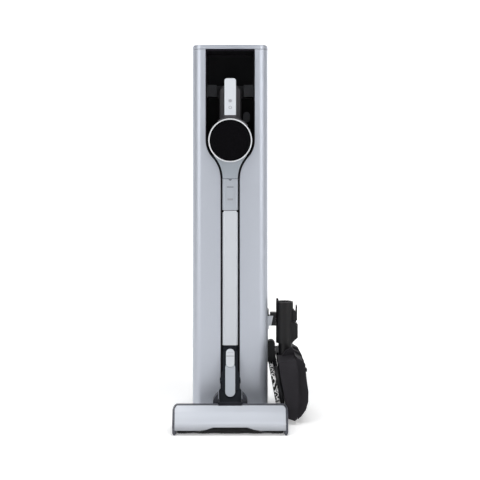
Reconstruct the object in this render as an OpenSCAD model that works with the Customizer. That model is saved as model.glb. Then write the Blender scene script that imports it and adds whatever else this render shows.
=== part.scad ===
// Cordless stick vacuum, docked in its charging and emptying tower, with a
// powered mop head stored on the tower's side.
//
// Frame: the origin is the centre of the tower's footprint on the floor, +Z is
// up and -Y is the front. The tower opens like a book along split_y: the front
// half carries the dock and the vacuum, the rear half holds the dust bag.

/* [Tower] */
// Width of the tower
tower_w = 203; // [200:1:210]
// Depth of the tower
tower_d = 280; // [276:1:290]
// Height of the tower
tower_h = 1000; // [996:1:1010]
// Radius of the two front corners seen from above
front_r = 26; // [20:1:30]
// Wall thickness of the tower's shells
wall = 3; // [2:0.5:4]

/* [Dock opening] */
// Half the width of the upper recess, and the radius around the motor disc
recess_r = 66.3; // [65:0.1:68]
// Half the width of the groove that the wand stands in
groove_half = 26; // [25.5:0.1:27]
// Wall thickness of the black liner
liner_wall = 2.5; // [2:0.1:2.8]

/* [Hand unit] */
// Height of the motor's axis above the floor
motor_z = 743; // [740:1:746]
// Outer radius of the motor housing
motor_r = 57; // [55:0.5:58]
// Outer radius of the clear dust cup
cup_r = 52; // [50:0.5:52.5]
// Outer radius of the bright ring around the filter cap
ring_r = 58.4; // [58:0.1:59]
// Height of the handle's top above the floor
handle_top = 909; // [904:1:914]
// Width of the handle's bright strip
strip_w = 30.6; // [28:0.2:32]

/* [Wand] */
// Width of the wand's bright cover
wand_w = 41; // [40:0.5:42]
// Depth of the wand from front to back
wand_t = 36; // [34:0.5:36]
// How far the telescopic tube pulls out
wand_travel = 180; // [120:10:190]

/* [Floor head] */
// Width of the floor head
head_w = 299; // [296:1:302]
// Radius of the brush roll over its bristles
brush_r = 16.2; // [16:0.1:17]

/* [Mop head] */
// Width of the mop head, which hangs from front to back
mop_w = 268; // [260:2:270]
// Radius of each round mop pad
pad_r = 66; // [60:1:66]
// Angle of the folded mop head from the vertical
mop_lean = 10; // [8:1:11]

/* [Hidden] */
$fn = 72;
front_y = -tower_d / 2;
back_y = tower_d / 2;
half_w = tower_w / 2;
split_y = 10;           // rear face of the front half
split_gap = 1;          // gap between the two halves
back_t = 3.5;           // thickness of the front half's rear wall
bulge_r = 700;          // radius of the gently convex front
base_z = 22;            // underside of the tall shells
cap_z = tower_h - 11;   // underside of the top caps
base_t = 16;            // thickness of the base plate
rear_r = 14;            // radius of the tower's rear corners
flank_r = (pow(groove_half, 2) + pow(102, 2) - pow(recess_r, 2)) / (2 * (recess_r - groove_half));
flank_z = motor_z - 102;  // height where the flared neck meets the groove
port_r = 55;            // half width of the port behind the dust cup
hinge = [-103, 10.5];   // axis of the tower's own hinge, as x and y
hinge_r = 3.2;
hinge_pin_r = 1.4;
hinge_z = [190, 820];
run_gap = 0.06;         // running clearance on pins and axles
fit_gap = 0.3;          // gap between parts that only sit beside each other
wand_c = -127;          // centre of the wand from front to back
joint_z = 640;          // seam between the neck cover and the coupler
coupler_z = 556.5;      // seam between the coupler and the wand
wand_z = 195;           // lower end of the wand
head_y = [-339, -232];  // front and back of the floor head
head_half = head_w / 2; // half width of the floor head's back
cover_back = -250;      // back edge of the floor head's cover
brush_half = 135;       // half length of the brush roll's tunnel
tilt_axis = [-205, 42]; // y and z of the pivot between neck and yoke
slope_top = [-144.5, 181]; // y and z where the elbow's front face starts to lean forward
slope_lean = 30.2;      // lean of the elbow's front face from the vertical
swivel_z = 34;          // height of the swivel between yoke and floor head
brush_c = [-319, 17]; // y and z of the brush roll's axis
wheel_c = [-247, 9];    // y and z of the floor head's wheels
ease = 0.1;             // small step where two arcs meet
pad_places = [for (x = [-72, 72], y = [front_y + 34, back_y - 24]) [x, y]];
mop_x = 148;            // axis of the mop's tube
mop_y = -90;
mop_pivot = [150, 150]; // x and z of the mop head's pivot
release_pivot = [175, 258.5]; // x and z of the release lever's pin
pad_v = -60;            // height of the pads' centres below the mop's pivot

// ---------------------------------------------------------------- helpers

// A box between two corners, given as [low, high] along each axis.
module box(x, y, z) translate([x[0], y[0], z[0]]) cube([x[1] - x[0], y[1] - y[0], z[1] - z[0]]);

// A rectangle with round corners, given as [low, high] along each axis.
module rounded(x, y, r) {
    translate([x[0] + r, y[0]]) square([x[1] - x[0] - 2 * r, y[1] - y[0]]);
    translate([x[0], y[0] + r]) square([x[1] - x[0], y[1] - y[0] - 2 * r]);
    for (cx = [x[0] + r, x[1] - r], cy = [y[0] + r, y[1] - r]) translate([cx, cy]) circle(r = r);
}

// Extrudes an outline drawn in x and z from front to back.
module along_y(y) translate([0, y[1], 0]) rotate([90, 0, 0]) linear_extrude(y[1] - y[0]) children();

// Extrudes an outline drawn in y and z from side to side.
module along_x(x) translate([x[0], 0, 0]) rotate([90, 0, 90]) linear_extrude(x[1] - x[0]) children();

// Extrudes an outline drawn in x and y from z[0] to z[1].
module along_z(z) translate([0, 0, z[0]]) linear_extrude(z[1] - z[0]) children();

// A round bar from front to back, centred at c = [x, z].
module drum(r, y, c) along_y(y) translate(c) circle(r = r);

// A round bar from side to side, centred at c = [y, z].
module axle(r, x, c) translate([x[0], c[0], c[1]]) rotate([0, 90, 0]) cylinder(r = r, h = x[1] - x[0]);

// A round upright bar, centred at c = [x, y].
module post(r, z, c) translate([c[0], c[1], z[0]]) cylinder(r = r, h = z[1] - z[0]);

// ---------------------------------------------------------------- tower outlines

// The front half seen from above: a gently convex front with round corners.
module front_plan(inset = 0) {
    r = front_r;
    fx = half_w - r;
    fy = front_y + bulge_r - sqrt(pow(bulge_r - r, 2) - fx * fx);
    reach = (bulge_r - inset) / (bulge_r - r);
    difference() {
        intersection() {
            translate([0, front_y + bulge_r]) circle(r = bulge_r - inset, $fn = 256);
            translate([-half_w + inset, front_y]) square([tower_w - 2 * inset, split_y - front_y]);
        }
        for (side = [-1, 1]) difference() {
            translate([side > 0 ? fx * reach : -half_w - 1, front_y - 1])
                square([half_w + 1 - fx * reach, fy - front_y + 1]);
            translate([side * fx, fy]) circle(r = r - inset - ease);
        }
    }
}

// The rear half seen from above, open towards the front half.
module rear_plan(inset = 0) intersection() {
    rounded([-half_w + inset, half_w - inset], [-60, back_y - inset], rear_r - inset);
    translate([-half_w, split_y + split_gap]) square([tower_w, tower_d]);
}

// The dock's opening seen from the front, drawn in x and z and grown by g.
module dock_outline(g = 0, z = [0, cap_z]) intersection() {
    union() {
        translate([-recess_r - g, motor_z]) square([2 * (recess_r + g), cap_z - motor_z]);
        translate([0, motor_z]) circle(r = recess_r + g);
        translate([-groove_half - g, 0]) square([2 * (groove_half + g), flank_z + 1]);
        neck_outline(g, motor_z);
    }
    translate([-200, z[0]]) square([400, z[1] - z[0]]);
}

// The flare between the wand and the motor disc, bounded by two arcs, up to height top.
module neck_outline(g, top) difference() {
    c = groove_half + flank_r;
    intersection() {
        polygon([[0, motor_z], [c, flank_z], [-c, flank_z]]);
        translate([-c, flank_z]) square([2 * c, top - flank_z]);
    }
    for (side = [-1, 1]) translate([side * c, flank_z]) circle(r = flank_r - g - ease);
}

// The port behind the dust cup: round above, square below, so that the flap can swing down.
module port_outline(g = 0) {
    translate([0, motor_z]) circle(r = port_r + g);
    translate([-port_r - g, 680 - g]) square([2 * (port_r + g), motor_z - 680 + g]);
}

// ---------------------------------------------------------------- front half of the tower

module front_panel() color("lavender") difference() {
    along_z([base_t + 0.6, cap_z - 1]) front_plan();
    along_z([base_t + 5, cap_z]) intersection() {
        front_plan(wall);
        translate([-half_w, front_y]) square([tower_w, split_y - back_t - front_y]);
    }
    foot_notch();
    along_y([front_y - 5, front_y + 40]) dock_outline(0, [base_t, cap_z]);
    along_y([0, split_y + 1]) port_outline(4.3);
    for (z = hinge_z) post(hinge_r + 0.7, [z - 30, z + 30], hinge);
}

module front_top_cap() color("gainsboro") {
    along_z([cap_z, tower_h - 3]) front_plan();
    along_z([tower_h - 3, tower_h]) front_plan(2);
}

// The gap in the tower's foot that lets the wand's elbow pass.
module foot_notch() box([-24.5, 24.5], [front_y - 5, -101], [-1, base_z + 1]);

// The upper black liner, around the motor and the handle.
module dock_liner() color([0.05, 0.05, 0.06]) difference() {
    liner_block([motor_z, cap_z - 1.5], split_y - back_t - fit_gap);
    along_y([front_y - 5, -2]) dock_outline(-liner_wall, [motor_z - 1, cap_z - 5]);
    along_y([-10, split_y]) port_outline();
}

// The lower black liner, around the flared neck and the wand.
module groove_liner() color([0.05, 0.05, 0.06]) {
    groove_back = -101;
    difference() {
        union() {
            liner_block([flank_z - 6, motor_z - 0.2], split_y - back_t - fit_gap);
            liner_block([base_z, flank_z], groove_back + 3);
        }
        along_y([front_y - 5, -2]) dock_outline(-liner_wall, [flank_z - 3, motor_z + 1]);
        along_y([front_y - 5, groove_back]) dock_outline(-liner_wall, [base_z - 5, flank_z]);
        along_y([-10, split_y]) port_outline();
    }
}

// A block that fills the dock's opening between two heights, back to the plane y = back.
module liner_block(z, back) intersection() {
    along_y([front_y, back]) dock_outline(-fit_gap, z);
    along_z([0, tower_h]) front_plan(0.6);
}

// Two arms and a rear web that hold the handle's battery block.
module handle_cradle() color([0.16, 0.17, 0.18]) difference() {
    inner = recess_r - liner_wall - fit_gap;
    box([-inner, inner], [-78, -2.2], [864, 896]);
    box([-37, 37], [-79, -38], [860, 900]);
    box([-inner + 9, inner - 9], [-24, -2], [871, 889]);
}

module charge_pins() color("gold") for (x = [-12, -4, 4, 12])
    drum(1.6, [-49.8, -38], [x, 880]);

module port_seal() color([0.1, 0.1, 0.1]) along_y([split_y - back_t, split_y + 0.7]) difference() {
    port_outline(4);
    port_outline(0.5);
}

// The mop's pocket, its lip, and the padded rest below it, on the tower's right side.
module mop_bracket() color([0.12, 0.12, 0.13]) {
    y = [mop_y - 13, mop_y + 13];
    box([half_w, half_w + 3], [mop_y - 18, mop_y + 18], [232, 286]);
    box([half_w, half_w + 1.6], [mop_y - 5, mop_y + 5], [180, 234]);
    difference() {
        along_y(y) polygon([[half_w + 2, 268.2], [108.5, 268.2], [108.5, 276.4], [124, 276.4],
                            [124, 241], [half_w + 2, 241]]);
        box([111.6, 126], [mop_y - 8, mop_y + 8], [248.5, 278]);
    }
    box([116, 119.5], [mop_y - 8.5, mop_y + 8.5], [247, 261]);
    along_y(y) {
        translate([half_w, 143]) square([22, 30]);
        translate([half_w, 172]) square([20, 20]);
        translate([half_w + 10, 192]) circle(r = 10);
    }
}

// The knuckles and leaves that ride with the front half.
module door_hinges() color("silver") for (z = hinge_z) difference() {
    union() {
        for (low = [z - 28, z + 10]) post(hinge_r, [low, low + 18], hinge);
        for (low = [z - 28, z + 10]) box([-103, -101.6], [-16, hinge[1]], [low, low + 18]);
    }
    post(hinge_pin_r + run_gap, [z - 40, z + 40], hinge);
}

// ---------------------------------------------------------------- rear half of the tower

module rear_cabinet() color("lavender") difference() {
    along_z([base_z, cap_z - 1]) difference() {
        rear_plan();
        rear_plan(wall);
    }
    box([-66, 66], [back_y - wall - 1, back_y + 1], [70, 190]);
    box([-11, 11], [back_y - wall - 1, back_y + 1], [36, 56]);
    for (z = hinge_z) post(hinge_r + 0.7, [z - 30, z + 30], hinge);
}

module rear_top_cap() color("gainsboro") {
    along_z([cap_z, tower_h - 3]) rear_plan();
    along_z([tower_h - 3, tower_h]) rear_plan(2);
}

// The plate under both halves, which stands on the floor and carries the rear half.
module base_plate() color("dimgray") difference() {
    union() {
        along_z([0, base_t]) {
            front_plan(1.5);
            rear_plan(1.5);
            translate([1.5 - half_w, split_y - 3]) square([tower_w - 3, 6]);
        }
        along_z([base_t - 1, base_z - fit_gap]) rear_plan(1.5);
    }
    foot_notch();
    for (c = pad_places) post(10.2, [-1, 3], c);
}

// Flush rubber pads let into the base plate.
module base_pads() color("black") for (c = pad_places) post(10, [0, 3], c);

// The pins, the middle knuckles and the leaves that stay with the rear half.
module cabinet_hinges() color("silver") for (z = hinge_z) {
    post(hinge_pin_r, [z - 28, z + 28], hinge);
    post(hinge_r, [z - 9.8, z + 9.8], hinge);
    box([-103, -101.6], [hinge[1], 36], [z - 9.8, z + 9.8]);
}

module exhaust_grille() color([0.2, 0.2, 0.22]) difference() {
    box([-65.7, 65.7], [back_y - wall, back_y], [70.3, 189.7]);
    for (z = [78 : 9 : 180]) box([-60, 60], [back_y - wall - 1, back_y + 1], [z, z + 4.5]);
}

// A pleated block behind the grille.
module exhaust_filter() color("white") {
    box([-62, 62], [back_y - 12, back_y - 9], [72, 188]);
    for (x = [-60 : 6 : 57]) box([x, x + 3], [back_y - 19, back_y - 12], [72, 188]);
}

module fan_housing() color([0.22, 0.23, 0.25]) difference() {
    union() {
        post(54, [30, 200], [0, 66]);
        box([-44, 44], [66, back_y - 19.5], [72, 188]);
    }
    post(49, [36, 194], [0, 66]);
    post(22, [190, 204], [0, 66]);
    box([-38, 38], [80, back_y - 15], [78, 182]);
}

module tower_fan() color("silver") {
    post(12, [40, 90], [0, 66]);
    post(44, [90, 93], [0, 66]);
    for (a = [0 : 30 : 330]) translate([0, 66, 93]) rotate([0, 0, a]) box([14, 42], [-0.8, 0.8], [0, 22]);
    difference() {
        post(14.5, [93, 118], [0, 66]);
        post(4, [100, 119], [0, 66]);
    }
}

// The hood behind the port, with a spout that leads down into the bag.
module dust_duct() color([0.18, 0.18, 0.2]) difference() {
    union() {
        box([-62, 62], [split_y + split_gap, 108], [652, 812]);
        post(27, [574, 660], [0, 66]);
    }
    box([-58.5, 58.5], [split_y, 104.5], [656, 808.5]);
    post(24, [570, 660], [0, 66]);
}

module bag_plate() color("burlywood") difference() {
    box([-70, 70], [20, 116], [568, 573.7]);
    post(25, [560, 580], [0, 66]);
}

module dust_bag() color("white") along_z([262, 567.7]) rounded([-74, 74], [18, 124], 24);

module control_board() color("darkgreen") {
    box([-84, -82], [40, 116], [852, 944]);
    for (z = [862, 890, 918]) box([-81.9, -72], [56, 76], [z, z + 14]);
}

module power_inlet() color([0.1, 0.1, 0.1]) difference() {
    box([-10.7, 10.7], [back_y - 16, back_y - 0.5], [36.3, 55.7]);
    drum(4.5, [back_y - 12, back_y], [0, 46]);
}

// ---------------------------------------------------------------- hand unit

module motor_housing() color([0.1, 0.1, 0.11]) difference() {
    union() {
        drum(motor_r, [-150, -84], [0, motor_z]);
        along_y([-146.8, -92]) intersection() {
            translate([0, motor_z]) circle(r = 62.6);
            polygon([[0, motor_z], [62, motor_z + 54], [62, motor_z + 70], [-44, motor_z + 70]]);
        }
        along_y([wand_c + 3.2, -106]) intersection() {
            neck_outline(-5, motor_z);
            translate([-40, joint_z + fit_gap]) square([80, 60]);
        }
    }
    drum(motor_r - 3, [-151, -88], [0, motor_z]);
    drum(22, [-90, -80], [0, motor_z]);
    post(12.6, [joint_z - 1, joint_z + 34], [0, wand_c]);
}

module fan_motor() color("silver") {
    drum(34, [-119, -90], [0, motor_z]);
    drum(26, [-90, -88.2], [0, motor_z]);
    for (a = [30 : 120 : 270]) translate([0, 0, motor_z]) rotate([0, a, 0])
        box([32, motor_r - 3.2], [-104, -96], [-4, 4]);
}

module motor_fan() color("gainsboro") {
    drum(30, [-121.5, -120], [0, motor_z]);
    drum(9, [-126, -121.5], [0, motor_z]);
    for (a = [0 : 40 : 320]) translate([0, 0, motor_z]) rotate([0, a, 0])
        box([8, 29], [-126, -121], [-0.6, 0.6]);
}

// The gloss disc that turns to come off, with its bayonet skirt.
module filter_cap() color([0.03, 0.03, 0.04]) {
    drum(54.9, [-161, -156], [0, motor_z]);
    drum(48.5, [-162.4, -161], [0, motor_z]);
    difference() {
        drum(53.4, [-156, -142], [0, motor_z]);
        drum(51.6, [-157, -141], [0, motor_z]);
    }
}

module cap_ring() color("silver") difference() {
    union() {
        drum(ring_r, [-162, -150.4], [0, motor_z]);
        drum(ring_r - 1, [-163, -162], [0, motor_z]);
    }
    drum(55.1, [-164, -150], [0, motor_z]);
}

module hepa_filter() color("white") difference() {
    drum(51.2, [-155.8, -130], [0, motor_z]);
    drum(26, [-154, -129], [0, motor_z]);
}

module dust_cup() color([0.6, 0.7, 0.75, 0.4]) difference() {
    drum(cup_r, [-83.8, -10], [0, motor_z]);
    drum(cup_r - 2, [-81, -9], [0, motor_z]);
    drum(32, [-85, -80], [0, motor_z]);
    translate([0, 0, motor_z]) rotate([0, -55, 0]) box([40, 60], [-76.5, -16], [-3.5, 3.5]);
}

module cyclone() color([0.35, 0.36, 0.38]) {
    difference() {
        drum(27, [-83.6, -39.8], [0, motor_z]);
        drum(24.5, [-84.6, -43], [0, motor_z]);
    }
    drum(28, [-39.8, -36], [0, motor_z]);
}

// The clear lid at the dust cup's rear end, hinged along its lower edge.
module bin_flap() color([0.5, 0.6, 0.65, 0.5]) {
    drum(cup_r - 0.5, [-9.6, -6], [0, motor_z]);
    drum(cup_r - 2.6, [-12, -9.6], [0, motor_z]);
    along_x([-14, 14]) polygon([[-9, 694], [-6, 694], [-4.5, 688], [-9, 688]]);
    axle(3, [-14, 14], [-6.5, 688]);
}

// The wiper ring inside the cup, with its arm and finger tab outside.
module press_lever() color([0.2, 0.2, 0.21]) {
    difference() {
        drum(cup_r - 2.5, [-75.5, -71.5], [0, motor_z]);
        drum(29, [-76, -71], [0, motor_z]);
    }
    translate([0, 0, motor_z]) rotate([0, -55, 0]) box([45, 66], [-75.5, -71.5], [-2.5, 2.5]);
    along_y([-80, -70]) rounded([35.5, 54], [794, 822], 9);
}

module neck_cover() color("silver") difference() {
    along_y([-147, wand_c + 3]) intersection() {
        neck_outline(-5.8, motor_z);
        translate([-60, joint_z + 0.9]) square([120, 80]);
    }
    drum(ring_r + 0.4, [-170, -149.8], [0, motor_z]);
    drum(motor_r + 0.3, [-149.9, -100], [0, motor_z]);
    post(12.6, [joint_z - 1, joint_z + 34], [0, wand_c]);
}

// A closed loop with a finger gap, seated on the motor housing.
module handle_shell() color([0.13, 0.13, 0.14]) difference() {
    union() {
        along_x([-strip_w / 2, strip_w / 2]) rounded([-147, -88.5], [780, handle_top - 1], 11);
        along_y([-92.5, -88.5]) rounded([-27, 27], [789, 886], 8);
    }
    along_x([-30, 30]) rounded([-122, -94], [815, 878], 8);
    drum(62.8, [-150.2, -80], [0, motor_z]);
}

module handle_cover() color("silver") difference() {
    along_y([-151, -147.2]) intersection() {
        rounded([-strip_w / 2, strip_w / 2], [780, handle_top], 7);
        translate([-40, 810.8]) square([80, 120]);
    }
    drum(4.7, [-152, -146], [0, 831]);
    along_y([-152, -146]) rounded([-4.8, 4.8], [844.2, 853.8], 2.5);
}

module power_button() color("gainsboro") drum(4.4, [-151.6, -149.2], [0, 831]);

module mode_button() color("silver") along_y([-151.6, -149.2]) rounded([-4.5, 4.5], [844.5, 853.5], 2.3);

module battery() color([0.15, 0.15, 0.16]) difference() {
    intersection() {
        along_y([-88.2, -50]) {
            rounded([-31, 31], [802, 850], 4);
            translate([-31, 830]) square([62, 43]);
            rounded([-31, 31], [851, 895], 21);
        }
        along_z([800, 900])
            polygon([[-31, -50], [-31, -70], [-20, -88.2], [20, -88.2], [31, -70], [31, -50]]);
    }
    box([-7.3, 7.3], [-76, -62], [891.5, 896]);
    for (x = [-12, -4, 4, 12]) drum(2.4, [-53, -49], [x, 880]);
}

module battery_latch() color("dimgray") box([-7, 7], [-75.7, -62.3], [893.8, 897]);

module coupler() color("silver") difference() {
    along_z([coupler_z, joint_z]) rounded([-21, 21], [-145, -109], 7);
    post(12.6, [coupler_z - 1, joint_z + 1], [0, wand_c]);
    along_y([-146, -141.8]) rounded([-10.8, 10.8], [575.7, 620.3], 3.3);
}

module wand_release() color("silver") along_y([-146, -143.6]) rounded([-10.5, 10.5], [576, 620], 3);

// ---------------------------------------------------------------- wand and neck

module wand_tube() color([0.08, 0.08, 0.09]) difference() {
    along_z([wand_z, coupler_z - fit_gap]) rounded([-18.3, 18.3], [-142.3, -109], 6);
    along_z([wand_z - 1, coupler_z - 20]) rounded([-15.8, 15.8], [-139.8, -111.5], 4);
    post(12.6, [coupler_z - 21, coupler_z], [0, wand_c]);
    drum(4.2, [-113, -108], [0, wand_z + 35]);
}

// The bright cover clipped over the front of the wand.
module wand_cover() color("silver") difference() {
    along_z([wand_z, coupler_z - 1.6]) intersection() {
        rounded([-wand_w / 2, wand_w / 2], [wand_c - wand_t / 2, wand_c + wand_t / 2], 7);
        translate([-30, -160]) square([60, 38]);
    }
    along_z([wand_z - 1, coupler_z]) rounded([-18.5, 18.5], [-142.5, -100], 6);
    for (side = [-1, 1]) along_y([-150, -120])
        polygon([[side * 22, coupler_z], [side * 22, coupler_z - 7], [side * 20, coupler_z - 7],
                 [side * 17, coupler_z - 4], [side * 17, coupler_z]]);
}

// The button at the wand's back that frees the telescopic tube.
module telescope_button() color([0.1, 0.1, 0.11]) drum(4, [-110, -105.5], [0, wand_z + 35]);

module lower_tube() color([0.25, 0.26, 0.28]) difference() {
    along_z([150, 440]) rounded([-15.5, 15.5], [-139.5, -111.8], 4);
    along_z([149, 441]) rounded([-13.2, 13.2], [-137, -114], 3);
}

// Moves a part drawn upright at y = 0, hanging below z = 0, onto the elbow's leaning front face.
module on_slope() translate([0, slope_top[0], slope_top[1]]) rotate([-slope_lean, 0, 0]) children();

// The elbow that carries the floor head, with the tilt barrel at its foot.
module neck_housing() color([0.2, 0.2, 0.21]) difference() {
    union() {
        along_z([slope_top[1] - 30, wand_z - fit_gap]) rounded([-20.5, 20.5], [-144.5, -109], 8);
        on_slope() along_y([0, 30]) {
            polygon([[-20.2, -1], [20.2, -1], [20.2, -56], [27.4, -78], [27.4, -81], [22.6, -82],
                     [22.6, -110], [-22.6, -110], [-22.6, -82], [-27.4, -81], [-27.4, -78], [-20.2, -56]]);
        }
        on_slope() along_y([2, 29]) rounded([-29.3, 29.3], [-152, -104], 7);
        axle(17, [-29.5, 29.5], tilt_axis);
    }
    along_z([148.8, wand_z]) rounded([-15.7, 15.7], [-139.7, -111.6], 4);
    on_slope() along_y([-6, 2.8]) rounded([-11.6, 11.6], [-48, 3.6], 11.5);
    box([-31, 31], [-260, -222.4], [20, 58]);
}

// The bright strip down the front of the elbow.
module neck_trim() color("silver") difference() {
    on_slope() along_y([-2.2, -0.2]) rounded([-13, 13], [-128, -36], 12.9);
    on_slope() along_y([-6, 1]) rounded([-11.8, 11.8], [-48.2, 3.8], 11.7);
}

module nozzle_release() color("gainsboro")
    on_slope() along_y([-3.6, 1.0]) rounded([-11.3, 11.3], [-47.7, 3.3], 11.2);

// A half-round frame: the neck tilts between its cheeks, and its spigot swivels in the floor head.
module neck_yoke() color([0.3, 0.3, 0.33]) {
    difference() {
        intersection() {
            drum(49, [-224.6, -188], [0, swivel_z + 10]);
            box([-45, 45], [-230, -180], [swivel_z - 6, 120]);
        }
        box([-30, 30], [-222.6, -180], [0, 120]);
        box([-32, 32], [-226, -180], [60, 120]);
    }
    drum(12, [-238, -222.7], [0, swivel_z]);
    difference() {
        drum(24, [-224.6, -222.7], [0, swivel_z]);
        box([-30, 30], [-226, -220], [60, 90]);
    }
}

// ---------------------------------------------------------------- floor head

// The floor head seen from above, a little wider at the back, shrunk by inset.
module head_plan(inset = 0) intersection() {
    polygon([[inset - 144.5, -365], [144.5 - inset, -365],
             [head_half - inset, head_y[1] - inset], [inset - head_half, head_y[1] - inset]]);
    rounded([inset - head_half - 0.5, head_half + 0.5 - inset], [-380, head_y[1] - inset], 10);
}

// The floor head's side outline, lowered by drop.
module head_side(drop = 0) polygon([
    [head_y[1], 3], [head_y[1], 58.4 - drop], [-238, 59.4 - drop], [-288, 49 - drop], [-332, 33.5 - drop],
    [-336.5, 31 - drop], [head_y[0] + drop, 27 - drop], [head_y[0] + drop, 13], [-330, 3]
]);

// The floor head's block, with its upper corners rounded as seen from the front.
module head_block(drop, inset, r) intersection() {
    along_x([inset - head_half - 5, head_half + 5 - inset]) head_side(drop);
    along_z([0, 90]) head_plan(inset);
    along_y([head_y[0] - 5, 0])
        rounded([inset - head_half - 0.2, head_half + 0.2 - inset], [-40, 59.6 - inset / 4], r);
}

module head_base() color([0.16, 0.16, 0.18]) difference() {
    union() {
        head_block(2.6, 0, 17);
        difference() {
            head_block(0, 0, 17);
            intersection() {
                along_z([0, 90]) head_plan(5.7);
                along_y([head_y[0] - 5, cover_back + 0.4])
                    rounded([5.5 - head_half, head_half - 5.5], [-40, 80], 12);
            }
        }
        for (side = [-1, 1]) along_x(side > 0 ? [137.5, 143.6] : [-143.6, -137.5])
            polygon([[-334, 0], [-252, 0], [-246, 20], [head_y[0] + 3.5, 20], [head_y[0] + 3.5, 6]]);
    }
    axle(brush_r + 1.6, [-brush_half, brush_half], brush_c);
    box([-brush_half, brush_half], [head_y[0] - 1, -300], [-1, 15]);
    drum(12 + run_gap, [-250, -230], [0, swivel_z]);
    back_notch();
    for (x = [-67, 53]) box([x, x + 14], [wheel_c[0] - 11, wheel_c[0] + 11], [-1, 21]);
    axle(2 + run_gap, [-70, 70], wheel_c);
    axle(3 + run_gap, [-brush_half - 7, brush_half + 7], brush_c);
}

// The dip in the floor head's back edge behind which the elbow's foot stands.
module back_notch() along_y([-252, -225]) polygon([[-36, 62], [-27, 50], [27, 50], [36, 62]]);

module head_cover() color("silver") difference() {
    head_block(0, 6.1, 12);
    along_x([-head_half - 5, head_half + 5]) head_side(2.5);
    box([-head_half - 5, head_half + 5], [cover_back, 0], [0, 90]);
    box([-head_half - 5, head_half + 5], [-400, 0], [-50, 13]);
    back_notch();
    along_y([-345, -332])
        polygon([[-73.5, 0], [-73.5, 13.5], [-60, 15.5], [-44, 21.2], [44, 21.2], [60, 15.5],
                 [73.5, 13.5], [73.5, 0]]);
}

module brush_roll() color([0.25, 0.25, 0.3]) {
    difference() {
        axle(11.5, [-134, 134], brush_c);
        axle(3 + run_gap, [-136, -126], brush_c);
        axle(3 + run_gap, [126, 136], brush_c);
    }
    for (a = [0 : 60 : 300]) translate([0, brush_c[0], brush_c[1]]) rotate([a, 0, 0])
        box([-132, 132], [-1.6, 1.6], [11, brush_r - 0.2]);
}

module head_wheels() color([0.12, 0.12, 0.12]) {
    for (side = [-1, 1]) axle(9, side > 0 ? [54.5, 65.5] : [-65.5, -54.5], wheel_c);
    axle(2, [-68, 68], wheel_c);
}

// ---------------------------------------------------------------- mop head

// Places a part of the folded mop head, drawn as if it hung straight down from its pivot.
module mop_frame() translate([mop_pivot[0], mop_y, mop_pivot[1]]) rotate([0, -mop_lean, 0]) children();

module mop_tube() color([0.11, 0.11, 0.12]) {
    difference() {
        union() {
            post(23.4, [194, 306], [mop_x, mop_y]);
            along_y([mop_y - 15, mop_y + 15]) polygon([[mop_x, 252], [174, 252], [183.4, 245], [183.4, 209],
                                                       [168, 195], [mop_x, 195]]);
            box([125.2, 132.5], [mop_y - 9, mop_y + 9], [280, 314]);
            for (y = [mop_y - 9.8, mop_y + 7.3]) along_y([y, y + 2.5])
                polygon([[168, 250], [168, 286], [173, 285], [179.5, 275], [179.5, 250]]);
            post(19, [158, 197], [mop_pivot[0], mop_y]);
            translate([0, mop_y, 0]) axle_y(17, [-19.5, 19.5]);
        }
        post(19, [252, 320], [mop_x, mop_y]);
        along_y([mop_y - 12, mop_y + 12]) translate(release_pivot) circle(r = 2 + run_gap);
    }
    along_y([mop_y - 7, mop_y + 7])
        polygon([[112, 275.5], [128, 275.5], [128, 262], [115.5, 262], [115.5, 250], [112, 252]]);
}

// A barrel about the mop's pivot, from y[0] to y[1] beside the mop's middle.
module axle_y(r, y) translate([mop_pivot[0], y[1], mop_pivot[1]])
    rotate([90, 0, 0]) cylinder(r = r, h = y[1] - y[0]);

module mop_release() color([0.16, 0.16, 0.17]) {
    along_y([mop_y - 7, mop_y + 7])
        polygon([[172.2, 254.5], [182, 254.5], [182, 293], [180, 299], [178.4, 296],
                 [177, 272], [173.4, 268], [172.2, 262]]);
    along_y([mop_y - 9.8, mop_y + 9.8]) translate(release_pivot) circle(r = 2);
}

// The flat frame under the mop head, with a bearing for each pad and the pivot's slot.
module mop_chassis() color([0.13, 0.13, 0.14]) mop_frame() difference() {
    union() {
        for (y = [-42.5, 24.2]) along_y([y, y + 18.3]) polygon([
            [-15, 8], [4, 27], [22, 33], [26, 26], [40, 17], [47.5, -7], [46.7, -26], [52, -30], [51, -37],
            [43, -37], [20, -30], [0, -10]
        ]);
        along_y([-mop_w / 2, mop_w / 2]) polygon([
            [-22, -132], [-22, -66], [-23, -26], [-21, 16], [25, 14], [25, -20], [13, -88],
            [2, -136], [-6, -141]
        ]);
    }
    pivot_slot();
    rotate([90, 0, 0]) translate([0, 0, -21]) cylinder(r = 17.6, h = 42);
    for (y = [-69, 69]) translate([-24, y, pad_v]) rotate([0, 90, 0]) cylinder(r = 4 + run_gap, h = 14);
}

// The domed tank that covers the top of the mop head.
module water_tank() color([0.15, 0.15, 0.16]) mop_frame() difference() {
    along_y([22 - mop_w / 2, mop_w / 2 - 22]) polygon([
        [25.3, 22], [34, 13], [42, 6], [46, -16], [44, -45], [43, -76], [38, -102], [28, -122], [13, -137],
        [3.5, -143], [3.3, -135], [13.3, -88], [25.3, -20]
    ]);
    pivot_slot();
    box([20, 70], [-43, 43], [-40, 60]);
}

// Room for the tube to lean over the mop head as it swings out.
module pivot_slot() box([-25, 60], [-20.5, 20.5], [-24, 60]);

// One mop pad on its turning plate, centred y beside the mop's middle.
module mop_pad(y) color("whitesmoke") mop_frame() translate([0, y, pad_v]) rotate([0, 90, 0]) {
    translate([0, 0, -47.5]) cylinder(r = pad_r, h = 13);
    translate([0, 0, -34.5]) cylinder(r = pad_r - 10, h = 10.5);
    translate([0, 0, -24]) cylinder(r = 4, h = 13.5);
}

module front_pad() mop_pad(-69);
module rear_pad() mop_pad(69);

// ---------------------------------------------------------------- the assembly

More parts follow.
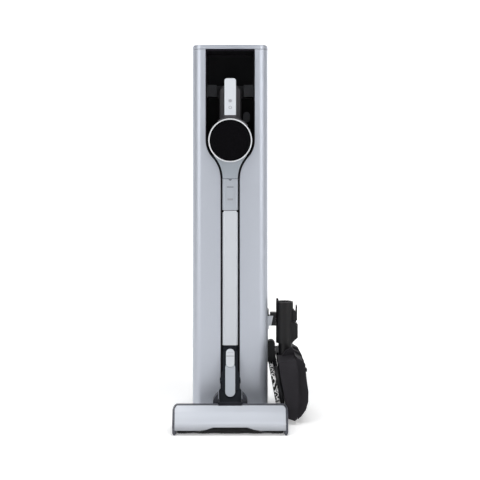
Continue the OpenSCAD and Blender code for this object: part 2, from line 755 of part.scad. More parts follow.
front_panel();
front_top_cap();
dock_liner();
groove_liner();
handle_cradle();
charge_pins();
port_seal();
mop_bracket();
door_hinges();
rear_cabinet();
rear_top_cap();
base_plate();
base_pads();
cabinet_hinges();
exhaust_grille();
exhaust_filter();
fan_housing();
tower_fan();
dust_duct();
bag_plate();
dust_bag();
control_board();
power_inlet();
motor_housing();
fan_motor();
motor_fan();
filter_cap();
cap_ring();
hepa_filter();
dust_cup();
cyclone();
bin_flap();
press_lever();
neck_cover();
handle_shell();
handle_cover();
power_button();
mode_button();
battery();
battery_latch();
coupler();
wand_release();
wand_tube();
wand_cover();
telescope_button();
lower_tube();
neck_housing();
neck_trim();
nozzle_release();
neck_yoke();
head_base();
head_cover();
brush_roll();
head_wheels();
mop_tube();
mop_release();
mop_chassis();
water_tank();
front_pad();
rear_pad();
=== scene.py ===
"""Looks for a cordless stick vacuum docked in its tower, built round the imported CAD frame."""
import math
import random

import bmesh
import bpy
from mathutils import Matrix, Vector, noise


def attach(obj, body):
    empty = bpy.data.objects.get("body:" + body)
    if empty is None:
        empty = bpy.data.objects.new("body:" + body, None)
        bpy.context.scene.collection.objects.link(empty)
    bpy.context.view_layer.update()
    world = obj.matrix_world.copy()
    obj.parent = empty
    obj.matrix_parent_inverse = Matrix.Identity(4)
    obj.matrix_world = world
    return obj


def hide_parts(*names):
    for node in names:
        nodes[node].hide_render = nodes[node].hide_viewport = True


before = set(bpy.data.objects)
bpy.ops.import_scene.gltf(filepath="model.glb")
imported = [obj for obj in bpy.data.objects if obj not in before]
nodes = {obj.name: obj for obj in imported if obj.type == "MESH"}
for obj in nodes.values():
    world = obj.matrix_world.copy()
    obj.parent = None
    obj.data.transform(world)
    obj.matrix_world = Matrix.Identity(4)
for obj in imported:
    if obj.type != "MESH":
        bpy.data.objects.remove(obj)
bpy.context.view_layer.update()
MM = 0.001

# ---------------------------------------------------------------- camera, light and floor

CAMERA_Y = -3.140
CAMERA_Z = 0.690
LENS = 83.96
SENSOR = 36.0
SHIFT = (0.0204, -0.1662)


def make_camera():
    data = bpy.data.cameras.new("camera")
    data.sensor_width = SENSOR
    data.lens = LENS
    data.shift_x, data.shift_y = SHIFT
    cam = bpy.data.objects.new("camera", data)
    cam.location = (0.0, CAMERA_Y, CAMERA_Z)
    cam.rotation_euler = (math.radians(90), 0.0, 0.0)
    bpy.context.scene.collection.objects.link(cam)
    bpy.context.scene.camera = cam


def area_light(name, place, target, size, power):
    data = bpy.data.lights.new(name, "AREA")
    data.shape = "RECTANGLE"
    data.size, data.size_y = size
    data.energy = power
    light = bpy.data.objects.new(name, data)
    light.location = place
    light.rotation_euler = (Vector(target) - Vector(place)).to_track_quat("-Z", "Y").to_euler()
    bpy.context.scene.collection.objects.link(light)


def make_world(ambient):
    """White behind the object, with a much weaker glow on it."""
    world = bpy.data.worlds.new("studio")
    world.use_nodes = True
    tree = world.node_tree
    glow = tree.nodes["Background"]
    glow.inputs["Color"].default_value = (0.94, 0.97, 1.0, 1.0)
    glow.inputs["Strength"].default_value = ambient
    backdrop = tree.nodes.new("ShaderNodeBackground")
    path = tree.nodes.new("ShaderNodeLightPath")
    mix = tree.nodes.new("ShaderNodeMixShader")
    tree.links.new(path.outputs["Is Camera Ray"], mix.inputs["Fac"])
    tree.links.new(glow.outputs["Background"], mix.inputs[1])
    tree.links.new(backdrop.outputs["Background"], mix.inputs[2])
    tree.links.new(mix.outputs["Shader"], tree.nodes["World Output"].inputs["Surface"])
    bpy.context.scene.world = world


FLOOR_HALF = 9.0
FLOOR_BACK = 3.2
WALL_BEND = 1.6
WALL_TOP = 8.0
BEND_STEPS = 12
GLOW_START, GLOW_END = 0.4, 3.0        # distances behind the object, in metres
GLOW_NEAR, GLOW_FAR = 0.30, 0.90


def make_floor():
    """A pale floor that curves up into a pale wall far behind the object."""
    mesh = bmesh.new()
    profile = [(-FLOOR_HALF, 0.0), (FLOOR_BACK, 0.0)]
    for step in range(1, BEND_STEPS + 1):
        a = math.radians(90 * step / BEND_STEPS)
        profile.append((FLOOR_BACK + WALL_BEND * math.sin(a), WALL_BEND * (1 - math.cos(a))))
    profile.append((FLOOR_BACK + WALL_BEND, WALL_TOP))
    rows = [[mesh.verts.new((x, y, z)) for y, z in profile] for x in (-FLOOR_HALF, FLOOR_HALF)]
    for i in range(len(profile) - 1):
        mesh.faces.new((rows[0][i], rows[1][i], rows[1][i + 1], rows[0][i + 1]))
    data = bpy.data.meshes.new("floor")
    mesh.to_mesh(data)
    mesh.free()
    for face in data.polygons:
        face.use_smooth = True
    floor = bpy.data.objects.new("floor", data)
    bpy.context.scene.collection.objects.link(floor)
    coating = satin("floor_paint", (0.90, 0.90, 0.90), 0.95, speck=0.0)
    tree = coating.node_tree
    shader = tree.nodes["Principled BSDF"]
    shader.inputs["Emission Color"].default_value = (1.0, 1.0, 1.0, 1.0)
    coord = tree.nodes.new("ShaderNodeTexCoord")
    place = tree.nodes.new("ShaderNodeSeparateXYZ")
    glow = tree.nodes.new("ShaderNodeMapRange")
    glow.inputs["From Min"].default_value = GLOW_START
    glow.inputs["From Max"].default_value = GLOW_END
    glow.inputs["To Min"].default_value = GLOW_NEAR
    glow.inputs["To Max"].default_value = GLOW_FAR
    tree.links.new(coord.outputs["Object"], place.inputs["Vector"])
    tree.links.new(place.outputs["Y"], glow.inputs["Value"])
    tree.links.new(glow.outputs["Result"], shader.inputs["Emission Strength"])
    floor.data.materials.append(coating)


# ---------------------------------------------------------------- materials


class Shader:
    """A short way to build one node material."""

    def __init__(self, name):
        self.material = bpy.data.materials.new(name)
        self.material.use_nodes = True
        self.tree = self.material.node_tree
        self.shader = self.tree.nodes["Principled BSDF"]
        self.coord = self.node("ShaderNodeTexCoord")

    def node(self, kind, **values):
        made = self.tree.nodes.new(kind)
        for key, value in values.items():
            if hasattr(made, key):
                setattr(made, key, value)
            else:
                made.inputs[key.replace("_", " ")].default_value = value
        return made

    def link(self, source, target):
        self.tree.links.new(source, target)

    def set(self, **values):
        for key, value in values.items():
            socket = self.shader.inputs[key.replace("_", " ")]
            if isinstance(value, tuple) and len(value) == 3:
                value = (*value, 1.0)
            socket.default_value = value

    def object_coords(self, stretch=(1.0, 1.0, 1.0)):
        mapping = self.node("ShaderNodeMapping")
        mapping.inputs["Scale"].default_value = stretch
        self.link(self.coord.outputs["Object"], mapping.inputs["Vector"])
        return mapping.outputs["Vector"]

    def noise(self, scale, detail=3.0, stretch=(1.0, 1.0, 1.0), rough=0.55):
        made = self.node("ShaderNodeTexNoise")
        made.inputs["Scale"].default_value = scale
        made.inputs["Detail"].default_value = detail
        made.inputs["Roughness"].default_value = rough
        self.link(self.object_coords(stretch), made.inputs["Vector"])
        return made.outputs["Fac"]

    def ramp(self, source, stops):
        made = self.node("ShaderNodeValToRGB")
        ramp = made.color_ramp
        while len(ramp.elements) > 2:
            ramp.elements.remove(ramp.elements[-1])
        for index, (place, colour) in enumerate(stops):
            if index < 2:
                element = ramp.elements[index]
                element.position = place
            else:
                element = ramp.elements.new(place)
            if isinstance(colour, (int, float)):
                colour = (colour, colour, colour)
            element.color = (*colour, 1.0)
        self.link(source, made.inputs["Fac"])
        return made.outputs["Color"]

    def bump(self, source, strength, distance):
        made = self.node("ShaderNodeBump")
        made.inputs["Strength"].default_value = strength
        made.inputs["Distance"].default_value = distance
        self.link(source, made.inputs["Height"])
        self.link(made.outputs["Normal"], self.shader.inputs["Normal"])

    def math(self, operation, first, second):
        made = self.node("ShaderNodeMath", operation=operation)
        self.link(first, made.inputs[0])
        if isinstance(second, float):
            made.inputs[1].default_value = second
        else:
            self.link(second, made.inputs[1])
        return made.outputs["Value"]

    def colour_from(self, socket):
        self.link(socket, self.shader.inputs["Base Color"])

    def roughness_from(self, socket):
        self.link(socket, self.shader.inputs["Roughness"])


# Noise scales of the fine grain in spark-eroded plastic and in sprayed paint.
MOULD_GRAIN = 1500.0
PAINT_GRAIN = 1800.0


def shade(colour, amount):
    return tuple(max(0.0, min(1.0, c * amount)) for c in colour)


def satin(name, colour, rough, speck=0.04, metal=0.0, coat=0.0):
    """Painted or moulded surface: faint cloudiness in its colour and gloss, and a fine grain."""
    s = Shader(name)
    cloud = s.noise(9.0, 4.0)
    s.colour_from(s.ramp(cloud, [(0.3, shade(colour, 1 - speck)), (0.7, shade(colour, 1 + speck))]))
    s.roughness_from(s.ramp(s.noise(40.0, 3.0), [(0.3, rough * 0.92), (0.7, min(1.0, rough * 1.08))]))
    s.set(Metallic=metal, Coat_Weight=coat, Coat_Roughness=0.12)
    s.bump(s.noise(2600.0, 2.0), 0.02, 0.0002)
    return s.material


def pearl(name, colour, rough, metal_share=0.12):
    """Satin pearl paint: a metallic base with fine flakes under a soft clear coat."""
    s = Shader(name)
    flakes = s.node("ShaderNodeTexVoronoi")
    flakes.inputs["Scale"].default_value = 2400.0
    s.link(s.object_coords(), flakes.inputs["Vector"])
    tones = [(0.2, shade(colour, 0.965)), (0.9, shade(colour, 1.035))]
    s.colour_from(s.ramp(flakes.outputs["Color"], tones))
    s.roughness_from(s.ramp(s.noise(30.0, 3.0), [(0.3, rough * 0.93), (0.7, rough * 1.07)]))
    s.set(Metallic=metal_share, Coat_Weight=0.10, Coat_Roughness=0.3)
    s.bump(s.noise(PAINT_GRAIN, 2.0), 0.012, 0.0002)
    return s.material


# Heights between which the painted shade on the head cover's lower front fades out upwards.
SHADE_DARKEST_BELOW = 0.013
SHADE_GONE_ABOVE = 0.043


def pearl_with_painted_shade(name, colour, rough):
    """Pearl paint with painted shade: darker towards the floor head's lower front edge, where less light
    falls.
    """
    s = Shader(name)
    place = s.node("ShaderNodeSeparateXYZ")
    s.link(s.coord.outputs["Object"], place.inputs["Vector"])
    level = s.node("ShaderNodeMapRange")
    level.inputs["From Min"].default_value = SHADE_DARKEST_BELOW
    level.inputs["From Max"].default_value = SHADE_GONE_ABOVE
    s.link(place.outputs["Z"], level.inputs["Value"])
    tones = [(0.0, shade(colour, 0.45)), (0.62, shade(colour, 0.9)), (1.0, colour)]
    s.colour_from(s.ramp(level.outputs["Result"], tones))
    s.roughness_from(s.ramp(s.noise(30.0, 3.0), [(0.3, rough * 0.93), (0.7, rough * 1.07)]))
    s.set(Metallic=0.12, Coat_Weight=0.08, Coat_Roughness=0.3)
    s.bump(s.noise(PAINT_GRAIN, 2.0), 0.012, 0.0002)
    return s.material


def moulded(name, colour, rough, grain=0.12, shine=0.35):
    """Textured plastic: a spark-eroded grain, with slight wear in the colour."""
    s = Shader(name)
    s.set(Specular_IOR_Level=shine)
    s.colour_from(s.ramp(s.noise(14.0, 5.0), [(0.3, shade(colour, 0.88)), (0.7, shade(colour, 1.14))]))
    s.roughness_from(s.ramp(s.noise(60.0, 4.0), [(0.3, rough * 0.88), (0.7, min(1.0, rough * 1.1))]))
    s.bump(s.noise(MOULD_GRAIN, 3.0), grain, 0.0003)
    return s.material


def polished(name, colour, rough):
    """High-gloss plastic with a clear coat and faint handling marks."""
    s = Shader(name)
    s.colour_from(s.ramp(s.noise(6.0, 3.0), [(0.3, shade(colour, 0.9)), (0.7, shade(colour, 1.1))]))
    s.roughness_from(s.ramp(s.noise(90.0, 6.0), [(0.45, rough), (0.75, rough * 2.2)]))
    s.set(Coat_Weight=0.15, Coat_Roughness=0.05, Specular_IOR_Level=0.25)
    s.bump(s.noise(55.0, 2.0), 0.01, 0.0004)
    return s.material


def metal(name, colour, rough):
    """Brushed or turned metal: fine lines along one direction."""
    s = Shader(name)
    lines = s.noise(260.0, 4.0, stretch=(1.0, 1.0, 60.0))
    s.colour_from(s.ramp(lines, [(0.25, shade(colour, 0.9)), (0.75, shade(colour, 1.06))]))
    s.roughness_from(s.ramp(lines, [(0.25, rough * 0.8), (0.75, rough * 1.25)]))
    s.set(Metallic=1.0)
    s.bump(lines, 0.05, 0.0002)
    return s.material


def rubber(name, colour):
    s = Shader(name)
    s.colour_from(s.ramp(s.noise(35.0, 5.0), [(0.3, shade(colour, 0.8)), (0.75, shade(colour, 1.5))]))
    s.roughness_from(s.ramp(s.noise(120.0, 3.0), [(0.3, 0.62), (0.7, 0.85)]))
    s.bump(s.noise(900.0, 3.0), 0.18, 0.0004)
    return s.material


def clear(name, colour):
    """Clear polycarbonate with a light dust haze."""
    s = Shader(name)
    s.set(Base_Color=colour, IOR=1.58, Transmission_Weight=0.92)
    s.roughness_from(s.ramp(s.noise(60.0, 5.0), [(0.4, 0.03), (0.75, 0.16)]))
    s.bump(s.noise(25.0, 2.0), 0.01, 0.0005)
    return s.material


def fibre(name, colour, scale, bump=0.5, rough=0.92, sheen=0.2):
    """Felted or woven fibre."""
    s = Shader(name)
    matted = s.noise(scale, 8.0, rough=0.7)
    tones = [(0.3, shade(colour, 0.78)), (0.65, colour), (0.8, shade(colour, 1.1))]
    s.colour_from(s.ramp(matted, tones))
    s.roughness_from(s.ramp(matted, [(0.3, rough), (0.7, min(1.0, rough * 1.06))]))
    s.set(Sheen_Weight=sheen)
    s.bump(matted, bump, 0.0008)
    return s.material


def squiggle(name):
    """Looped microfibre: white pile with a printed black worm pattern."""
    s = Shader(name)
    worm = s.noise(72.0, 0.0)
    white, black = 0.72, 0.006
    lines = [(0.0, 0.70)]
    for start, end in ((0.32, 0.46), (0.55, 0.70)):
        lines += [(start, white), (start + 0.02, black), (end, black), (end + 0.02, white)]
    s.colour_from(s.ramp(worm, lines))
    pile = s.noise(900.0, 6.0, rough=0.7)
    s.roughness_from(s.ramp(pile, [(0.3, 0.9), (0.7, 1.0)]))
    s.set(Sheen_Weight=0.25, Specular_IOR_Level=0.1)
    s.bump(pile, 0.8, 0.0012)
    return s.material


# The bracket's slanted joint line as x = JOINT_X + JOINT_LEAN * z, and the heights that bound it.
JOINT_X = 0.0630
JOINT_LEAN = 0.2
ARM_UNDERSIDE = 0.2680
REST_TOP = 0.2100


def two_tone(name, near, far, rough):
    """A two-shot moulding: pale beside the tower's wall, dark beyond a slanted joint line."""
    s = Shader(name)
    place = s.node("ShaderNodeSeparateXYZ")
    s.link(s.coord.outputs["Object"], place.inputs["Vector"])
    x, z = place.outputs["X"], place.outputs["Z"]
    beyond = s.math("SUBTRACT", x, s.math("MULTIPLY", z, JOINT_LEAN))
    right = s.math("GREATER_THAN", beyond, JOINT_X)
    above = s.math("GREATER_THAN", z, ARM_UNDERSIDE)
    below = s.math("LESS_THAN", z, REST_TOP)
    dark = s.math("MAXIMUM", right, s.math("MAXIMUM", above, below))
    s.colour_from(s.ramp(dark, [(0.4, near), (0.6, far)]))
    s.roughness_from(s.ramp(s.noise(60.0, 4.0), [(0.3, rough * 0.9), (0.7, rough * 1.1)]))
    s.set(Specular_IOR_Level=0.2)
    s.bump(s.noise(MOULD_GRAIN, 3.0), 0.12, 0.0003)
    return s.material


def board(name):
    """A printed board: solder mask with lighter tracks."""
    s = Shader(name)
    cells = s.node("ShaderNodeTexBrick")
    cells.inputs["Scale"].default_value = 90.0
    cells.inputs["Color1"].default_value = (0.012, 0.09, 0.035, 1)
    cells.inputs["Color2"].default_value = (0.016, 0.12, 0.045, 1)
    cells.inputs["Mortar"].default_value = (0.05, 0.24, 0.10, 1)
    s.link(s.object_coords(), cells.inputs["Vector"])
    s.colour_from(cells.outputs["Color"])
    s.set(Roughness=0.35)
    s.bump(cells.outputs["Fac"], 0.3, 0.0002)
    return s.material


def paint(node, material):
    data = nodes[node].data
    data.materials.clear()
    data.materials.append(material)


SILVER = (0.545, 0.575, 0.640)
TRIM = (0.57, 0.595, 0.63)

mat = {
    "panel": pearl("pearl_panel", shade(SILVER, 0.94), 0.43, 0.50),
    "trim": pearl("silver_trim", TRIM, 0.45),
    # Painted light and shade: the handle strip gets a lighter copy of the trim silver, and the neck and
    # link parts get darker copies, for how light falls on them.
    "silver_painted_light": pearl("silver_trim_painted_light", shade(TRIM, 1.14), 0.45),
    "silver_painted_shade_neck": pearl("silver_neck_painted_shade", (0.350, 0.385, 0.425), 0.45),
    "silver_painted_shade_link": pearl("silver_link_painted_shade", (0.410, 0.440, 0.485), 0.45),
    # The head cover's paint carries painted shade on its lower front band.
    "cover": pearl_with_painted_shade("head_cover_painted_shade", (0.67, 0.70, 0.76), 0.42),
    "black": moulded("black_plastic", (0.014, 0.014, 0.016), 0.45, shine=0.25),
    "handle": moulded("handle_plastic", (0.088, 0.084, 0.091), 0.5, shine=0.45),
    "cradle": moulded("cradle_plastic", (0.060, 0.062, 0.070), 0.45, shine=0.45),
    "liner": moulded("liner_black", (0.008, 0.007, 0.010), 0.35, 0.03, shine=0.25),
    "grey": moulded("dark_grey_plastic", (0.030, 0.033, 0.040), 0.42, shine=0.25),
    "bumper": moulded("bumper_grey", (0.085, 0.088, 0.105), 0.45, shine=0.3),
    "neck": moulded("neck_grey", (0.008, 0.010, 0.014), 0.5, shine=0.12),
    "yoke": moulded("yoke_grey", (0.033, 0.035, 0.044), 0.42, shine=0.25),
    "gloss": polished("gloss_black", (0.0025, 0.0022, 0.003), 0.07),
    "ring": satin("bright_ring", (0.74, 0.75, 0.77), 0.3, metal=0.1, coat=0.3),
    "rubber": rubber("black_rubber", (0.02, 0.02, 0.02)),
    "clear": clear("clear_cup", (0.80, 0.86, 0.90)),
    "filter": fibre("filter_paper", (0.80, 0.80, 0.77), 900.0, 0.3),
    "fleece": fibre("bag_fleece", (0.80, 0.79, 0.76), 380.0, 0.7),
    "card": fibre("pressed_card", (0.50, 0.37, 0.22), 260.0, 0.25),
    "steel": metal("brushed_steel", (0.58, 0.58, 0.60), 0.3),
    "gold": metal("plated_contact", (0.80, 0.60, 0.26), 0.2),
    "board": board("circuit_board"),
    "roller": fibre("roller_pile", (0.006, 0.006, 0.007), 1800.0, 0.6, 0.9, 0.0),
    "bristle": fibre("brush_fibre", (0.008, 0.008, 0.009), 1400.0, 0.5, 0.8, 0.0),
    "pale_bristle": fibre("pale_brush_fibre", (0.20, 0.20, 0.21), 1400.0, 0.5, 0.8, 0.0),
    "socket": moulded("socket_black", (0.008, 0.0076, 0.0085), 0.38, shine=0.28),
    "tank": moulded("tank_black", (0.026, 0.0245, 0.028), 0.65, shine=0.05),
    "chassis": moulded("chassis_black", (0.026, 0.0245, 0.028), 0.65, shine=0.05),
    "bracket": two_tone("bracket_plastic", (0.50, 0.52, 0.56), (0.012, 0.012, 0.013), 0.5),
    "mop_cloth": squiggle("mop_cloth"),
    "mark": moulded("seam_shadow", (0.018, 0.018, 0.022), 0.6, shine=0.1),
    "soft_mark": moulded("soft_mark", (0.15, 0.16, 0.18), 0.6, shine=0.1),
    "faint": moulded("faint_mark", (0.34, 0.35, 0.38), 0.6, shine=0.1),
}

PAINTS = {
    "panel": ["front_panel", "front_top_cap", "rear_cabinet", "rear_top_cap"],
    "trim": ["wand_cover", "nozzle_release"],
    "silver_painted_light": ["handle_cover", "power_button", "mode_button"],
    "silver_painted_shade_neck": ["neck_cover"],
    "silver_painted_shade_link": ["coupler", "wand_release", "neck_trim"],
    "cover": ["head_cover"],
    "black": ["dust_duct", "power_inlet", "wand_tube", "telescope_button"],
    "handle": ["handle_shell", "battery", "motor_housing"],
    "cradle": ["handle_cradle", "press_lever"],
    "liner": ["dock_liner", "groove_liner"],
    "grey": ["base_plate", "exhaust_grille", "fan_housing", "cyclone", "battery_latch", "lower_tube"],
    "bumper": ["head_base"],
    "neck": ["neck_housing"],
    "yoke": ["neck_yoke"],
    "gloss": ["filter_cap"],
    "ring": ["cap_ring"],
    "rubber": ["port_seal", "base_pads", "head_wheels"],
    "clear": ["dust_cup", "bin_flap"],
    "filter": ["exhaust_filter", "hepa_filter"],
    "fleece": ["dust_bag"],
    "card": ["bag_plate"],
    "steel": ["door_hinges", "cabinet_hinges", "tower_fan", "fan_motor", "motor_fan"],
    "gold": ["charge_pins"],
    "board": ["control_board"],
    "bristle": ["brush_roll"],
    "socket": ["mop_tube", "mop_release"],
    "chassis": ["mop_chassis"],
    "tank": ["water_tank"],
    "bracket": ["mop_bracket"],
    "mop_cloth": ["front_pad", "rear_pad"],
}


def paint_nodes():
    for key, names in PAINTS.items():
        for name in names:
            paint(name, mat[key])


# ---------------------------------------------------------------- edges of the CAD nodes

BEVELS = {
    0.3: ["front_panel", "neck_cover", "wand_cover"],
    0.8: ["rear_cabinet", "coupler", "neck_housing", "cap_ring", "mop_bracket", "exhaust_grille",
          "base_plate"],
    1.6: ["handle_cradle", "front_top_cap", "rear_top_cap", "neck_yoke", "head_base", "handle_shell",
          "battery"],
    0.6: ["handle_cover", "power_button", "mode_button", "wand_release", "neck_trim", "nozzle_release",
          "filter_cap", "motor_housing", "telescope_button", "mop_release", "press_lever", "lower_tube"],
    1.2: ["head_cover", "mop_tube"],
    2.6: ["water_tank"],
    1.0: ["mop_chassis"],
}


def soften(name, width):
    """Rounded edges on a CAD node, through a modifier."""
    bevel = nodes[name].modifiers.new("edges", "BEVEL")
    bevel.width = width * MM
    bevel.segments = 3
    bevel.limit_method = "ANGLE"
    bevel.angle_limit = math.radians(34)
    bevel.harden_normals = False
    nodes[name].modifiers.new("normals", "WEIGHTED_NORMAL").keep_sharp = True


# ---------------------------------------------------------------- rebuilt pieces


def piece(name, mesh, body, material, stands_for=()):
    mesh.normal_update()
    bmesh.ops.recalc_face_normals(mesh, faces=mesh.faces)
    data = bpy.data.meshes.new(name)
    mesh.to_mesh(data)
    mesh.free()
    for face in data.polygons:
        face.use_smooth = True
    data.materials.append(material)
    made = bpy.data.objects.new(name, data)
    bpy.context.scene.collection.objects.link(made)
    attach(made, body)
    if stands_for:
        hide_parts(*stands_for)
    return made


def skin(mesh, rings):
    """Joins closed rings of points into a tube, and fills its ends."""
    rows = [[mesh.verts.new(p) for p in ring] for ring in rings]
    for a, b in zip(rows, rows[1:]):
        for j in range(len(a)):
            k = (j + 1) % len(a)
            mesh.faces.new((a[j], a[k], b[k], b[j]))
    for row in (rows[0], rows[-1]):
        mesh.faces.new(row)


def turned(mesh, profile, steps, place):
    """A solid of revolution from (radius, height) pairs, put in place by a matrix."""
    rings = []
    for r, h in profile:
        ring = []
        for j in range(steps):
            a = 2 * math.pi * j / steps
            ring.append(place @ (Vector((r * math.cos(a), r * math.sin(a), h)) * MM))
        rings.append(ring)
    skin(mesh, rings)


MOP_PIVOT = (0.150, -0.090, 0.150)
MOP_LEAN = math.radians(-10)
PAD_DROP = -0.060
PAD_SPREAD = 69
PAD_EDGE = 58          # radius at which the cloth starts to round over
CLOTH_FACE = -47.2     # working face and back of the cloth along its shaft
CLOTH_BACK = -34.7
RIM_MIDDLE = (CLOTH_FACE + CLOTH_BACK) / 2
RIM_HALF = (CLOTH_BACK - CLOTH_FACE) / 2


def mop_frame(y):
    """Places local Z along a mop pad's shaft."""
    return (
        Matrix.Translation(MOP_PIVOT)
        @ Matrix.Rotation(MOP_LEAN, 4, "Y")
        @ Matrix.Translation((0.0, y * MM, PAD_DROP))
        @ Matrix.Rotation(math.radians(90), 4, "Y")
    )


def pad_outline():
    """Half of a crowned disc's section, from the centre of its working face round the rim."""
    bulge, steps = 7.4, 24
    line = [(r, CLOTH_FACE) for r in range(1, PAD_EDGE)]
    for step in range(steps + 1):
        a = math.radians(-90 + 180 * step / steps)
        line.append((PAD_EDGE + bulge * math.cos(a), RIM_MIDDLE + RIM_HALF * math.sin(a)))
    line += [(r, CLOTH_BACK) for r in range(PAD_EDGE - 1, 0, -3)]
    return line


def curl_depth(point, seed):
    """How far the looped pile sinks at a point of the cloth, in millimetres."""
    loops = abs(noise.noise(point * 0.30 + Vector((seed, 0, 0)))) * 2.4
    return min(1.9, loops + abs(noise.noise(point * 0.8)) * 0.9)


def mop_cloth(side, y, node):
    """A round cloth of looped pile, on its turning plate and shaft."""
    place = mop_frame(y)
    steps = 300
    rim_start, face_limit, back_share = 50, -40, 0.6
    outline = pad_outline()
    mesh = bmesh.new()
    rings = []
    for index, (r, h) in enumerate(outline):
        before = outline[max(0, index - 1)]
        after = outline[min(len(outline) - 1, index + 1)]
        out = Vector((after[1] - before[1], before[0] - after[0])).normalized()
        ring = []
        for j in range(steps):
            a = 2 * math.pi * j / steps
            sink = curl_depth(Vector((r * math.cos(a), r * math.sin(a), h)), y)
            radius = r - abs(out.x) * sink if r > rim_start else r
            level = h + (sink if h < face_limit else -sink * back_share) * abs(out.y)
            point = Vector((radius * math.cos(a), radius * math.sin(a), level)) * MM
            ring.append(place @ point)
        rings.append(ring)
    skin(mesh, rings)
    cloth = piece(side + "_cloth", mesh, side + "_pad", mat["mop_cloth"], [node])
    mesh = bmesh.new()
    disc_edge = [(55.5, -34.4), (56, -33.9), (56, -25), (55, -24)]
    shaft = [(9, -24), (7, -22), (4, -21), (4, -11)]
    turned(mesh, disc_edge + shaft, 96, place)
    piece(side + "_plate", mesh, side + "_pad", mat["black"], [node])


BAG_LOW, BAG_TALL = 262.5, 304.5
BAG_Y = 71
BAG_SQUARENESS = 0.62


def fleece_bag():
    """The dust bag, half full: pillowed sides, a sewn seam at each end and soft creases."""
    mesh = bmesh.new()
    rings = []
    levels, steps = 56, 120
    for i in range(levels + 1):
        t = i / levels
        z = BAG_LOW + BAG_TALL * t
        swell = (1 - abs(2 * t - 1) ** 5) ** 0.42
        half_x = 30 + 42.5 * swell
        half_y = 3.0 + 47.5 * swell ** 1.25
        ring = []
        for j in range(steps):
            a = 2 * math.pi * j / steps
            c, n = math.cos(a), math.sin(a)
            x = half_x * math.copysign(abs(c) ** BAG_SQUARENESS, c)
            y = half_y * math.copysign(abs(n) ** BAG_SQUARENESS, n)
            fold = abs(noise.noise(Vector((x * 0.035, y * 0.035, z * 0.018)))) * 7.0
            fold += abs(noise.noise(Vector((x * 0.10, y * 0.10, z * 0.05)) + Vector((9, 3, 1)))) * 2.2
            keep = 1 - min(0.2, fold / 72)
            ring.append((x * keep * MM, (BAG_Y + y * keep) * MM, z * MM))
        rings.append(ring)
    skin(mesh, rings)
    bag = piece("fleece_bag", mesh, "cabinet", mat["fleece"], ["dust_bag"])


BRUSH_Y, BRUSH_Z = -319.0, 17.0
BRUSH_HALF = 134       # half length of the brush's core
ROW_HALF = 131         # half length of each row of tufts
ROW_TWIST = 150        # degrees that a row turns from the middle to its end
TUFTS_PER_ROW = 250
ROW_TONES = (("bristle", (0, 1, 3, 4, 5)), ("pale_bristle", (2,)))


def bristles():
    """The brush roll: a dark pile core with spiral rows of fine tufts."""
    centre = Matrix.Translation((0.0, BRUSH_Y * MM, BRUSH_Z * MM))
    mesh = bmesh.new()
    end, bevelled = BRUSH_HALF, BRUSH_HALF - 1
    core = [(4, -end), (13.4, -end), (14.4, -bevelled), (14.4, bevelled), (13.4, end), (4, end)]
    turned(mesh, core, 64, centre @ Matrix.Rotation(math.radians(90), 4, "Y"))
    piece("brush_core", mesh, "brush_roll", mat["roller"], ["brush_roll"])
    draw = random.Random(11)
    for tone, rows in ROW_TONES:
        mesh = bmesh.new()
        for row in rows:
            for k in range(TUFTS_PER_ROW):
                x = -ROW_HALF + 2 * ROW_HALF * (k + draw.random() * 0.5) / TUFTS_PER_ROW
                a = math.radians(60 * row + ROW_TWIST * (abs(x) / ROW_HALF) + draw.uniform(-3, 3))
                tuft(mesh, x, a, draw.uniform(-0.05, 0.05), draw.uniform(15.3, 15.95))
        tufts = piece(tone + "_tufts", mesh, "brush_roll", mat[tone], ["brush_roll"])
        for face in tufts.data.polygons:
            face.use_smooth = False


def tuft(mesh, x, angle, lean, tip):
    """One bundle of bristles: a thin tapered bar that stands out from the brush's core."""
    root, root_width, tip_width = 11.0, 0.55, 0.38
    corners = []
    for r, w, turn in ((root, root_width, 0.0), (tip, tip_width, lean)):
        for da, dx in ((-1, -1), (1, -1), (1, 1), (-1, 1)):
            b = angle + turn + da * w / r
            y, z = BRUSH_Y + r * math.cos(b), BRUSH_Z + r * math.sin(b)
            corners.append(((x + dx * w) * MM, y * MM, z * MM))
    v = [mesh.verts.new(p) for p in corners]
    for f in ((0, 1, 5, 4), (1, 2, 6, 5), (2, 3, 7, 6), (3, 0, 4, 7), (4, 5, 6, 7), (3, 2, 1, 0)):
        mesh.faces.new([v[n] for n in f])


def ring_mark(name, body, centre, r, width, depth, material):
    """A thin ring let into a front face, seen from -Y."""
    mesh = bmesh.new()
    turn = Matrix.Translation([c * MM for c in centre]) @ Matrix.Rotation(math.radians(90), 4, "X")
    rows = []
    steps = 48
    for radius, h in ((r - width, 0), (r - width, depth), (r, depth), (r, 0)):
        row = []
        for j in range(steps):
            a = 2 * math.pi * j / steps
            point = Vector((radius * math.cos(a), radius * math.sin(a), h)) * MM
            row.append(mesh.verts.new(turn @ point))
        rows.append(row)
    for n in range(4):
        a, b = rows[n], rows[(n + 1) % 4]
        for j in range(steps):
            k = (j + 1) % steps
            mesh.faces.new((a[j], a[k], b[k], b[j]))
    return piece(name, mesh, body, material)


def slab(name, body, outline, y, material):
    """A thin plate: an outline in x and z, between two depths."""
    mesh = bmesh.new()
    skin(mesh, [[(x * MM, yy * MM, z * MM) for x, z in outline] for yy in y])
    made = piece(name, mesh, body, material)
    for face in made.data.polygons:
        face.use_smooth = False
    return made


SLOPE_TOP = (0.0, -0.1445, 0.181)
SLOPE_LEAN = math.radians(-30.2)


def on_slope(made):
    """Moves a flat mark drawn at y = 0 onto the elbow's leaning front face."""
    made.data.transform(Matrix.Translation(SLOPE_TOP) @ Matrix.Rotation(SLOPE_LEAN, 4, "X"))
    made.data.update()


def plate(x, z):
    """The outline of a rectangle between two widths and two heights."""
    return [(x[0], z[0]), (x[0], z[1]), (x[1], z[1]), (x[1], z[0])]


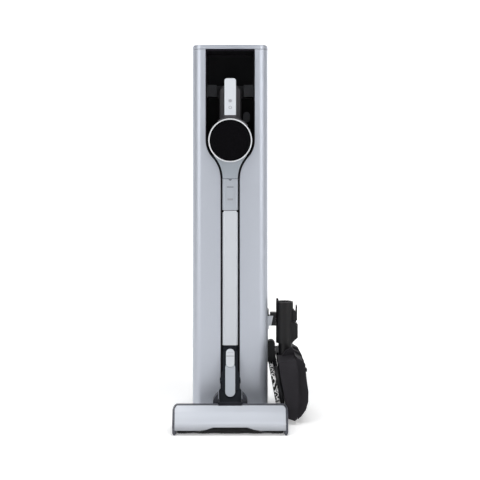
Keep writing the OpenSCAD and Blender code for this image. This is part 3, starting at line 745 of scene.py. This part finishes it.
def disc(r, z, steps=24):
    turn = 2 * math.pi / steps
    return [(r * math.cos(turn * n), z + r * math.sin(turn * n)) for n in range(steps)]


def chevron(half, tip, top, low):
    """The outline of a small arrow that points down."""
    return [(-half, top), (half, top), (tip, low), (-tip, low)]


def front_marks():
    """Seams, button icons and pressed marks on the front of the vacuum, each a thin inlay."""
    ring_mark("power_icon", "power_button", (0, -151.55, 831), 3.6, 1.0, 0.25, mat["faint"])
    slab("mode_icon", "mode_button", disc(4.0, 849), (-151.75, -151.55), mat["faint"])
    slab("seam_line", "hand_unit", plate((-20, 20), (640.1, 640.8)), (-146.6, -145.2), mat["mark"])
    slab("seam_arrow", "hand_unit", chevron(5.5, 1.6, 639.4, 635.4), (-145.25, -144.9),
         mat["soft_mark"])
    slab("release_line", "wand_release", plate((-9, 9), (617.6, 618.9)), (-146.15, -145.9),
         mat["mark"])
    slab("release_grip", "wand_release", plate((-7.5, 7.5), (582.5, 588)), (-146.2, -145.9),
         mat["faint"])
    pill_face = (-3.75, -3.5)
    on_slope(slab("pill_line", "nozzle_release", plate((-10.6, 10.6), (-17.6, -16.6)), pill_face,
                  mat["mark"]))
    on_slope(slab("pill_step", "nozzle_release", plate((-7.5, 7.5), (-7.6, -7.0)), pill_face,
                  mat["faint"]))
    slab("elbow_arrow", "inner_wand", chevron(6, 0.7, 194.4, 188.8), (-144.75, -144.4),
         mat["mark"])


# ---------------------------------------------------------------- the scene

bpy.context.scene.view_settings.view_transform = "Standard"
make_camera()
make_world(0.10)
make_floor()
for side, x in (("left", -1.9), ("right", 1.9)):
    area_light(side + "_softbox", (x, -2.3, 1.35), (0, -0.1, 0.65), (1.2, 2.0), 26)
area_light("top_softbox", (0, -0.75, 2.9), (0, -0.25, 0.0), (2.4, 1.6), 50)
paint_nodes()
for width, names in BEVELS.items():
    for name in names:
        soften(name, width)
front_marks()
mop_cloth("front", -PAD_SPREAD, "front_pad")
mop_cloth("rear", PAD_SPREAD, "rear_pad")
fleece_bag()
bristles()
